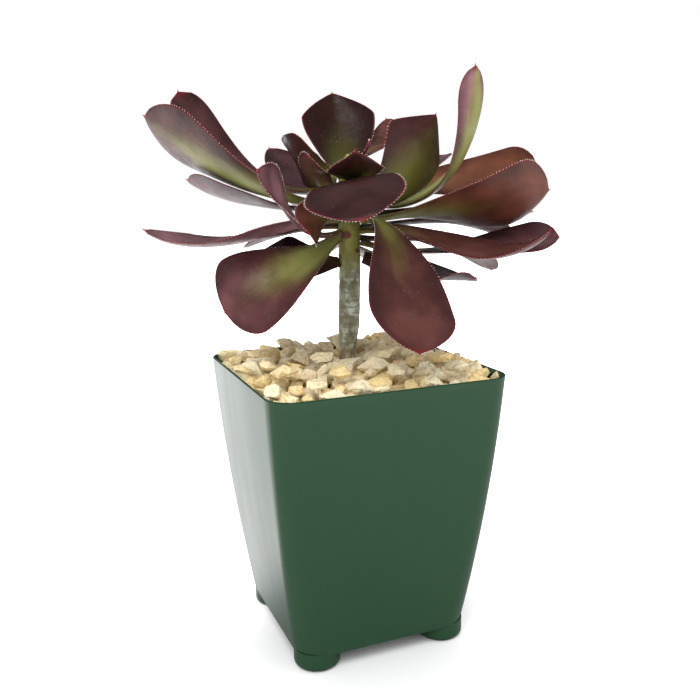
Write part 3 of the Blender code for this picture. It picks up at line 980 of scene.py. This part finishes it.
Leaf = namedtuple(
    "Leaf",
    "height heading length width rise curlIn curlOut swing roll twist cupIn cupOut widest point",
    defaults=(0, 0, 0, 0, 0, 0, 15, 15, 0.74, 0.4),
)
leafDesigns = {
    # the crown, nearest the tip of the stem
    "leaf_heart_tip": Leaf(
        201, -90, 22, 12, rise=25, curlOut=10, roll=30, twist=30, widest=0.65, point=1,
    ),
    "leaf_heart_left": Leaf(201, 135, 26, 14, rise=15, curlIn=10, curlOut=35, swing=-25, roll=10),
    "leaf_heart_right": Leaf(
        193, -45, 32, 14, curlIn=50, curlOut=25, swing=25, roll=-30, cupIn=25, cupOut=35,
    ),
    "leaf_heart_back": Leaf(196, 15, 26, 14, rise=10, curlOut=10, cupIn=25),
    "leaf_inner_front": Leaf(
        197, -100, 28, 22, rise=8, curlOut=52, swing=-15, cupIn=-5, cupOut=25, widest=0.55,
        point=1,
    ),
    "leaf_inner_left": Leaf(
        192, -170, 26, 14, rise=30, curlIn=-20, curlOut=35, swing=40, roll=50, twist=-75,
    ),
    "leaf_back_inner": Leaf(
        205, 19, 44, 14, rise=20, curlIn=-10, curlOut=50, swing=45, cupIn=-5, cupOut=20,
    ),
    "leaf_upper_left": Leaf(
        198, 162, 34, 28, rise=11, curlIn=55, curlOut=5, roll=65, twist=-50, cupIn=-15,
        widest=0.6, point=1,
    ),
    "leaf_back_upright": Leaf(
        195, 75, 51, 34, rise=35, curlIn=25, swing=5, cupIn=25, cupOut=40, widest=0.7, point=1,
    ),
    # the large leaves that rise or spread level
    "leaf_front": Leaf(
        194, -112, 64, 36, rise=10, curlIn=-12, curlOut=-42, roll=12, cupIn=2, cupOut=2,
    ),
    "leaf_upright_right": Leaf(
        186, -50, 52, 38, rise=8, curlIn=64, curlOut=10, swing=-15, roll=-35, cupOut=35,
        point=1,
    ),
    "leaf_upturned_right": Leaf(
        189, -3, 88, 30, rise=-25, curlIn=95, curlOut=35, swing=-15, roll=25, twist=-55,
        cupOut=25, widest=0.8,
    ),
    "leaf_rising_left": Leaf(
        189, 176, 88, 38, rise=-9, curlIn=48, curlOut=6, swing=-20, twist=34, widest=0.76,
    ),
    "leaf_rising_left_back": Leaf(
        194, 143, 88, 32, rise=-12, curlIn=38, curlOut=60, twist=-25, cupIn=5, cupOut=20,
        widest=0.76, point=0,
    ),
    "leaf_right_front": Leaf(
        180, -25, 84, 40, rise=9, curlIn=-9, curlOut=29, swing=18, twist=-55, cupIn=5,
        cupOut=20, widest=0.76,
    ),
    "leaf_right_upper": Leaf(
        193, 20, 86, 28, curlIn=16, curlOut=32, swing=-50, roll=24, twist=18, cupIn=1,
        cupOut=25, widest=0.86,
    ),
    "leaf_right_middle": Leaf(
        183, 3, 81, 34, curlIn=5, curlOut=-20, swing=-17, twist=-32, cupIn=1, cupOut=9,
    ),
    "leaf_back_left": Leaf(
        187, 102, 54, 28, rise=11, curlIn=8, curlOut=44, swing=19, roll=-9, twist=12, cupOut=35,
    ),
    "leaf_back_right": Leaf(
        186, 33, 78, 25, rise=4, curlIn=20, curlOut=-5, swing=-6, twist=-8, cupIn=20,
        cupOut=28,
    ),
    "leaf_back_middle": Leaf(184, 66, 62, 34, rise=-2, curlIn=8, curlOut=-3),
    "leaf_back_wide": Leaf(180, 92, 58, 34, curlIn=6, roll=9, twist=20, point=0),
    "leaf_left_middle": Leaf(
        184, 152, 66, 32, rise=5, curlOut=25, roll=-5, twist=28, cupIn=7, cupOut=18,
    ),
    "leaf_left_short": Leaf(
        186, -148, 38, 17, rise=-4, curlIn=-10, curlOut=-32, swing=-20, roll=75, twist=43,
        cupOut=22,
    ),
    # the lower leaves, which spread or hang
    "leaf_drooping_right": Leaf(
        183, -71, 78, 41, rise=-4, curlIn=-70, curlOut=30, roll=-26, twist=22, cupIn=44,
        widest=0.78, point=0.5,
    ),
    "leaf_drooping_left": Leaf(
        173, -165, 58, 36, rise=-29, curlIn=7, curlOut=-39, swing=-19, roll=-11, twist=-47,
        cupOut=25, widest=0.8,
    ),
    "leaf_left_lower": Leaf(
        181, 180, 81, 36, rise=-2, curlIn=-22, curlOut=58, swing=-15, roll=20, twist=-27,
        cupIn=30, cupOut=9,
    ),
    "leaf_left_curled": Leaf(
        176, -158, 64, 17, rise=-17, curlIn=73, curlOut=-20, swing=11, twist=-85, cupIn=24,
        cupOut=39, widest=0.8,
    ),
    "leaf_left_low_back": Leaf(
        178, 138, 44, 24, curlIn=-13, curlOut=-10, swing=10, cupIn=2, cupOut=2, widest=0.8,
    ),
    "leaf_right_twisted": Leaf(
        176, -42, 82, 34, rise=8, curlIn=-50, curlOut=94, swing=-6, roll=13, twist=-9, cupIn=26,
        cupOut=8, point=0.9,
    ),
    "leaf_right_back": Leaf(
        171, -8, 86, 32, rise=-17, curlIn=22, curlOut=6, swing=-28, roll=-11, twist=36, cupIn=1,
        cupOut=19, widest=0.86,
    ),
    "leaf_right_lower": Leaf(
        173, 14, 85, 24, rise=-7, curlIn=11, curlOut=-50, cupIn=3, cupOut=-5, point=0,
    ),
    "leaf_right_low_back": Leaf(
        177, 20, 84, 24, rise=3, curlOut=-43, swing=-40, roll=-5, twist=-9, cupIn=-5, cupOut=30,
    ),
    "leaf_low_right": Leaf(
        165, -26, 49, 34, rise=-18, curlIn=9, curlOut=23, swing=-12, roll=54, twist=-69,
        cupIn=-8, cupOut=10, point=0,
    ),
    "leaf_low_left": Leaf(
        163, 180, 37, 32, curlIn=-18, swing=-46, roll=-45, twist=17, cupIn=10, cupOut=4,
        point=0.2,
    ),
    "leaf_back_lower_right": Leaf(169, 45, 70, 35, rise=-11, curlIn=-14, curlOut=7, roll=18),
    "leaf_back_lower_left": Leaf(
        174, 108, 66, 35, rise=-15, curlIn=-14, curlOut=-6, roll=-11, twist=-8, widest=0.8,
    ),
    "leaf_back_lowest": Leaf(
        177, 68, 62, 32, rise=-7, curlIn=-3, curlOut=5, roll=-16, twist=-30, cupIn=19,
        widest=0.8,
    ),
}
# how each leaf is coloured: lightness, reach of the green, share of rust, share of mauve, which is
# partly the underside's own colour and partly painted sheen
leafTint = {
    "leaf_front": (0.50, 0.00, 0.06, 0.04),
    "leaf_back_upright": (0.30, 0.62, 0.30, 0.00),
    "leaf_inner_front": (0.55, 0.75, 0.15, 0.00),
    "leaf_drooping_left": (1.42, 0.78, 0.14, 0.16),
    "leaf_drooping_right": (0.98, 0.46, 0.22, 0.08),
    "leaf_rising_left": (1.04, 0.92, 0.15, 0.11),
    "leaf_rising_left_back": (0.95, 0.30, 0.10, 0.10),
    "leaf_upturned_right": (2.00, 1.25, 0.05, 0.55),
    "leaf_right_front": (1.50, 0.62, 0.45, 0.05),
    "leaf_right_upper": (1.00, 0.45, 0.80, 0.04),
    "leaf_right_middle": (0.95, 0.20, 0.55, 0.20),
    "leaf_right_back": (0.80, 0.10, 0.10, 0.25),
    "leaf_right_twisted": (0.90, 0.25, 0.45, 0.20),
    "leaf_right_lower": (0.75, 0.15, 0.20, 0.25),
    "leaf_right_low_back": (0.75, 0.15, 0.15, 0.30),
    "leaf_low_right": (0.50, 0.00, 0.00, 0.20),
    "leaf_low_left": (0.50, 0.00, 0.15, 0.15),
    "leaf_left_lower": (1.60, 0.15, 0.00, 0.62),
    "leaf_left_low_back": (1.00, 0.15, 0.05, 0.65),
    "leaf_left_middle": (0.95, 0.20, 0.00, 0.50),
    "leaf_left_curled": (1.05, 0.15, 0.05, 0.60),
    "leaf_left_short": (0.90, 0.45, 0.50, 0.05),
    "leaf_inner_left": (0.90, 0.45, 0.25, 0.10),
    "leaf_upper_left": (0.90, 0.50, 0.20, 0.15),
    "leaf_back_left": (0.55, 0.10, 0.00, 0.25),
    "leaf_back_right": (0.75, 0.10, 0.00, 0.35),
    "leaf_upright_right": (0.70, 0.85, 0.20, 0.10),
    "leaf_back_inner": (0.80, 0.35, 0.45, 0.10),
}
usualTint = (0.75, 0.35, 0.20, 0.20)


def coarseFrames(design):
    heading, rise, roll = (math.radians(v) for v in (design.heading, design.rise, design.roll))
    outwards = Vector((math.cos(heading), math.sin(heading), 0))
    level = Vector((-math.sin(heading), math.cos(heading), 0))
    forward = outwards * math.cos(rise) + Vector((0, 0, math.sin(rise)))
    side = math.cos(roll) * level + math.sin(roll) * forward.cross(level)
    start = design.height * mm
    depth = leafLook["thickBase"] / 2 * abs(math.cos(roll))
    depth += leafLook["baseShare"] * design.width / 2 * abs(math.sin(roll))
    root = stemRadius(start) + (leafLook["gap"] + depth * abs(math.sin(rise))) * mm
    point = stemCentre(start) + outwards * root
    step = 1 / (leafLook["coarseStations"] - 1)
    frames = [(point, side, forward)]
    for i in range(leafLook["coarseStations"] - 1):
        near = math.cos(math.pi * (i + 0.5) * step)
        pitch = math.radians(design.curlIn * (1 + near) + design.curlOut * (1 - near)) * step
        yaw = math.radians(design.swing) * step
        turn = math.radians(design.twist) * step
        up = forward.cross(side)
        onwards = (forward + pitch * up + yaw * side).normalized()
        side = side - yaw * forward + turn * up
        side = (side - onwards * side.dot(onwards)).normalized()
        point = point + (forward + onwards) / 2 * design.length * mm * step
        forward = onwards
        frames.append((point, side, forward))
    return frames


def fineFrames(design):
    # a smooth curve through the coarse frames
    coarse = coarseFrames(design)
    spacing = design.length * mm / (leafLook["coarseStations"] - 1)
    frames = []
    per = leafLook["finePerCoarse"]
    for k, ((p0, s0, f0), (p1, s1, f1)) in enumerate(zip(coarse, coarse[1:])):
        for j in range(per):
            t = j / per
            a = 2 * t**3 - 3 * t**2 + 1
            b = t**3 - 2 * t**2 + t
            c = -2 * t**3 + 3 * t**2
            d = t**3 - t**2
            point = a * p0 + b * spacing * f0 + c * p1 + d * spacing * f1
            forward = (f0 * (1 - t) + f1 * t).normalized()
            side = s0 * (1 - t) + s1 * t
            side = (side - forward * side.dot(forward)).normalized()
            frames.append(((k + t) / (len(coarse) - 1), point, side, forward))
    frames.append((1.0, *coarse[-1]))
    return frames


def bladeHalf(design, share):
    if share < design.widest:
        swell = math.sin(math.pi / 2 * share / design.widest) ** 1.6
        shape = leafLook["baseShare"] + (1 - leafLook["baseShare"]) * swell
    else:
        end = (share - design.widest) / (1 - design.widest)
        shape = max(1 - end ** (2.4 - 1.1 * design.point), 0) ** (0.55 + 0.4 * design.point)
    return design.width / 2 * shape


def sectionPoint(design, share, frame, across, half, phase):
    # the blade's middle surface and its outward direction, at this place across
    point, side, forward = frame
    up = forward.cross(side)
    cup = math.radians(design.cupIn + (design.cupOut - design.cupIn) * share)
    if abs(cup) < 0.01:
        cup = 0.01
    bend = cup * across
    reach = half * math.sin(bend) / cup
    lift = half * (1 - math.cos(bend)) / cup
    wave = leafLook["wave"] * across**2 * min(half / 8, 1)
    lift += wave * math.sin(2 * math.pi * (2.3 * share + 0.35 * math.copysign(1, across)) + phase)
    outwards = (up * math.cos(bend) - side * math.sin(bend)).normalized()
    sideways = (side * math.cos(bend) + up * math.sin(bend)).normalized()
    return point + (side * reach + up * lift) * mm, outwards, sideways


def cone(points, faces, base, direction, length, radius, sides):
    first = direction.orthogonal().normalized()
    second = direction.cross(first)
    start = len(points)
    for i in range(sides):
        angle = 2 * math.pi * i / sides
        points.append(base + (first * math.cos(angle) + second * math.sin(angle)) * radius)
    points.append(base + direction * length)
    for i in range(sides):
        faces.append((start + i, start + (i + 1) % sides, start + sides))
    faces.append(tuple(start + i for i in reversed(range(sides))))
    return sides + 1


def makeLeaf(name, design, random):
    phase = random.uniform(0, 2 * math.pi)
    strips = leafLook["strips"]
    acrossSteps = [math.sin(math.pi / 2 * (2 * i / strips - 1)) for i in range(strips + 1)]
    frames = fineFrames(design)
    points, faces, kinds = [], [], []
    along, across, rim, under = [], [], [], []
    ringSize = 2 * (strips + 1) + 2
    margins = ([], [])
    for share, *frame in frames:
        half = max(bladeHalf(design, share), 0.25 + 0.55 * (1 - share))
        thick = leafLook["thickBase"] + (leafLook["thickTip"] - leafLook["thickBase"]) * share**0.7
        edge = leafLook["edge"] * min(half, 1)
        thick = min(thick, 1.6 * half + 0.2)
        ring = []
        for face in (1, -1):
            steps = acrossSteps if face > 0 else acrossSteps[::-1]
            for a in steps:
                middle, outwards, sideways = sectionPoint(design, share, frame, a, half, phase)
                deep = (edge + (thick - edge) * (1 - a * a)) / 2
                ridge = math.exp(-((a * half / 1.3) ** 2)) * min(half / 5, 1) * (1 - 0.5 * share)
                deep += leafLook["keel"] * ridge if face < 0 else -leafLook["groove"] * ridge
                ring.append((middle + outwards * deep * mm * face, a, 0.0 if face > 0 else 1.0))
            # the round of the margin
            middle, outwards, sideways = sectionPoint(design, share, frame, face, half, phase)
            ring.append((middle + sideways * face * edge / 2 * mm, face, 0.5))
            margins[0 if face > 0 else 1].append(
                (share, middle + sideways * face * edge / 2.5 * mm, sideways * face, frame[2], half),
            )
        for place, a, side in ring:
            points.append(place)
            along.append(share)
            across.append(a)
            rim.append(min((1 - abs(a)) * half, (1 - share) * design.length))
            under.append(side)
    stations = len(frames)
    for i in range(stations - 1):
        low, high = i * ringSize, (i + 1) * ringSize
        for j in range(ringSize):
            k = (j + 1) % ringSize
            faces.append((low + j, low + k, high + k, high + j))
    faces.append(tuple(reversed(range(ringSize))))
    faces.append(tuple((stations - 1) * ringSize + j for j in range(ringSize)))
    kinds += [0] * len(faces)
    _, tipPoint, _, tipForward = frames[-1]
    made = cone(
        points,
        faces,
        tipPoint - tipForward * 0.7 * mm,
        tipForward,
        leafLook["tipLength"] * mm,
        leafLook["tipRadius"] * mm,
        8,
    )
    kinds += [2] * (len(faces) - len(kinds))
    extra = made
    for margin in margins:
        walked = leafLook["toothSpacing"] * random.uniform()
        for (s0, p0, d0, f0, h0), (s1, p1, d1, f1, h1) in zip(margin, margin[1:]):
            if s1 < 0.10:
                continue
            gap = (p1 - p0).length / mm
            while walked < gap:
                t = walked / gap
                tooth = (d0 * (1 - t) + d1 * t) + f0 * random.uniform(0.15, 0.7)
                run = (p1 - p0).normalized()
                tooth = (tooth - run * tooth.dot(run) * 0.6).normalized()
                tall = random.uniform(*leafLook["toothLength"]) * (0.55 + 0.45 * min(h0 / 6, 1))
                base = p0.lerp(p1, t)
                extra += cone(
                    points,
                    faces,
                    base - tooth * 0.1 * mm,
                    tooth,
                    tall * mm,
                    leafLook["toothRadius"] * mm,
                    4,
                )
                walked += leafLook["toothSpacing"] * random.uniform(0.75, 1.25)
            walked -= gap
    kinds += [1] * (len(faces) - len(kinds))
    mesh = bpy.data.meshes.new(name)
    mesh.from_pydata(points, [], faces)
    mesh.polygons.foreach_set("material_index", kinds)
    mesh.shade_smooth()
    mesh.set_sharp_from_angle(angle=math.radians(60))
    lightness, green, rust, mauveSheen = leafTint.get(name, usualTint)
    count = len(points)
    for key, values in (("along", along), ("across", across), ("rim", rim), ("under", under)):
        layer = mesh.attributes.new(key, "FLOAT", "POINT")
        layer.data.foreach_set("value", np.array(values + [0.0] * extra, dtype=np.float32))
    own = (
        ("lightness", lightness),
        ("green", green),
        ("rust", rust),
        ("mauveSheen", mauveSheen),
        ("own", random.uniform(0, 50)),
    )
    for key, value in own:
        layer = mesh.attributes.new(key, "FLOAT", "POINT")
        layer.data.foreach_set("value", np.full(count, value, dtype=np.float32))
    label = "leaf" + name[5:].title().replace("_", "")
    addPiece(label, mesh, [leafSkin, toothSkin, tipSkin], name)


def leafMaterial():
    made, tree, shader = newMaterial("leafSkin")
    along, across = attribute(tree, "along"), attribute(tree, "across")
    rim, under, own = attribute(tree, "rim"), attribute(tree, "under"), attribute(tree, "own")
    fromRib = doMath(tree, "ABSOLUTE", across)
    place = tree.nodes.new("ShaderNodeVectorMath")
    join(tree, tree.nodes.new("ShaderNodeTexCoord").outputs["Object"], place.inputs[0])
    join(tree, own, place.inputs[1])
    cloud = noise(tree, place.outputs[0], 60.0, 3.0, 0.5, 0.4)
    streaked = addNode(tree, "ShaderNodeCombineXYZ")
    join(tree, doMath(tree, "MULTIPLY", across, 13.0), streaked.inputs[0])
    join(tree, doMath(tree, "MULTIPLY", along, 1.6), streaked.inputs[1])
    join(tree, own, streaked.inputs[2])
    veins = noise(tree, streaked.outputs[0], 1.0, 3.0, 0.6, 0.3)
    mottle = useGroup(tree, mottleGroup, Size=150.0, Contrast=0.5, Grain_Size=2600.0)

    body = mixColour(tree, attribute(tree, "rust"), leafLook["purple"], leafLook["rust"])
    # painted sheen: pale mauve mixed over the whole leaf in cloudy patches, partly the leaf's own
    # colour and partly a painted waxy sheen
    mauveSheenShare = doMath(
        tree, "MULTIPLY", attribute(tree, "mauveSheen"), mapRange(tree, cloud, 0.25, 0.7, 0.65, 1.15),
    )
    body = mixColour(tree, mauveSheenShare, body, leafLook["mauveSheen"])
    shaded = mapRange(tree, cloud, 0.3, 0.72, 0.72, 1.28)
    shaded = doMath(tree, "MULTIPLY", shaded, mapRange(tree, veins, 0.3, 0.7, 0.97, 1.03))
    shaded = doMath(tree, "MULTIPLY", shaded, attribute(tree, "lightness"))
    body = mixColour(tree, 1.0, body, shaded, "MULTIPLY")

    # green runs out from the stem, furthest along the midrib
    spread = doMath(tree, "MULTIPLY_ADD", along, 1.5, 0.02)
    narrowing = doMath(tree, "MULTIPLY", doMath(tree, "POWER", fromRib, 1.5), spread)
    ahead = doMath(tree, "SUBTRACT", attribute(tree, "green"), along)
    reach = doMath(tree, "SUBTRACT", doMath(tree, "MULTIPLY", ahead, 1.5), narrowing)
    ragged = doMath(tree, "MULTIPLY", doMath(tree, "SUBTRACT", cloud, 0.5), 0.6)
    ragged = doMath(
        tree, "ADD", ragged, doMath(tree, "MULTIPLY", doMath(tree, "SUBTRACT", veins, 0.5), 0.3),
    )
    greening = mapRange(tree, doMath(tree, "ADD", reach, ragged), -0.35, 0.75)
    bright = doMath(tree, "MULTIPLY", greening, mapRange(tree, attribute(tree, "lightness"), 0.55, 1.2))
    greenTone = mixColour(
        tree, doMath(tree, "MULTIPLY", bright, 0.6), leafLook["green"], leafLook["paleGreen"],
    )
    greenTone = mixColour(
        tree,
        1.0,
        greenTone,
        mapRange(tree, attribute(tree, "lightness"), 0.4, 1.1, 0.5, 1.05),
        "MULTIPLY",
    )
    body = mixColour(tree, doMath(tree, "MULTIPLY", greening, 0.92), body, greenTone)
    base = mapRange(tree, along, 0.02, 0.2, 0.75, 0.0)
    body = mixColour(
        tree,
        doMath(tree, "MULTIPLY", base, mapRange(tree, attribute(tree, "green"), 0.0, 0.3)),
        body,
        greenTone,
    )

    # darker towards the margin, with a crimson line along it
    darkening = mapRange(tree, fromRib, 0.45, 1.0, 0.0, 0.5)
    body = mixColour(tree, darkening, body, leafLook["marginDark"])
    line = mapRange(tree, rim, 0.0, 0.45, 0.65, 0.0)
    line = doMath(tree, "MULTIPLY", line, mapRange(tree, along, 0.15, 0.5, 0.35, 1.0))
    line = doMath(tree, "MAXIMUM", line, mapRange(tree, along, 0.965, 1.0, 0.0, 0.85))
    body = mixColour(tree, line, body, leafLook["marginRed"])

    # pale bloom in specks
    specks = addNode(tree, "ShaderNodeTexVoronoi", Scale=720.0, Randomness=1.0)
    join(tree, tree.nodes.new("ShaderNodeTexCoord").outputs["Object"], specks.inputs["Vector"])
    dots = mapRange(tree, specks.outputs["Distance"], 0.10, 0.22, 1.0, 0.0)
    dots = doMath(tree, "MULTIPLY", dots, mapRange(tree, mottle.outputs["Cloud"], 0.5, 0.95, 0.0, 0.22))
    body = mixColour(tree, dots, body, (0.62, 0.55, 0.55))
    join(tree, body, shader.inputs["Base Color"])

    rough = mapRange(
        tree,
        mottle.outputs["Cloud"],
        0.0,
        1.0,
        leafLook["roughness"] - 0.07,
        leafLook["roughness"] + 0.1,
    )
    rough = doMath(tree, "ADD", rough, doMath(tree, "MULTIPLY", under, 0.06))
    join(tree, rough, shader.inputs["Roughness"])
    shader.inputs["Specular IOR Level"].default_value = 0.38
    shader.inputs["Subsurface Weight"].default_value = 0.08
    shader.inputs["Subsurface Radius"].default_value = (1.0, 0.6, 0.3)
    shader.inputs["Subsurface Scale"].default_value = 0.0015
    lines = bumpInto(tree, veins, 0.08, 0.0004)
    dents = bumpInto(tree, mottle.outputs["Cloud"], 0.18, 0.0008, lines)
    join(tree, bumpInto(tree, mottle.outputs["Grain"], 0.15, 0.00015, dents), shader.inputs["Normal"])
    return made


def plainMaterial(name, colour, roughness, subsurface=0.0):
    made, tree, shader = newMaterial(name)
    mottle = useGroup(tree, mottleGroup, Size=300.0, Contrast=0.3, Grain_Size=3000.0)
    shade = mapRange(tree, mottle.outputs["Cloud"], 0.0, 1.0, 0.85, 1.15)
    join(tree, mixColour(tree, 1.0, colour, shade, "MULTIPLY"), shader.inputs["Base Color"])
    shader.inputs["Roughness"].default_value = roughness
    shader.inputs["Subsurface Weight"].default_value = subsurface
    shader.inputs["Subsurface Radius"].default_value = (1.0, 0.8, 0.6)
    shader.inputs["Subsurface Scale"].default_value = 0.0005
    return made


leafSkin = leafMaterial()
toothSkin = plainMaterial("marginTeeth", (0.92, 0.86, 0.84), 0.5, 0.2)
tipSkin = plainMaterial("leafTip", (0.30, 0.012, 0.018), 0.4)
for number, (leafName, leafDesign) in enumerate(leafDesigns.items()):
    makeLeaf(leafName, leafDesign, np.random.default_rng(100 + number))
print("stage:", len(leafDesigns), "leaves made")
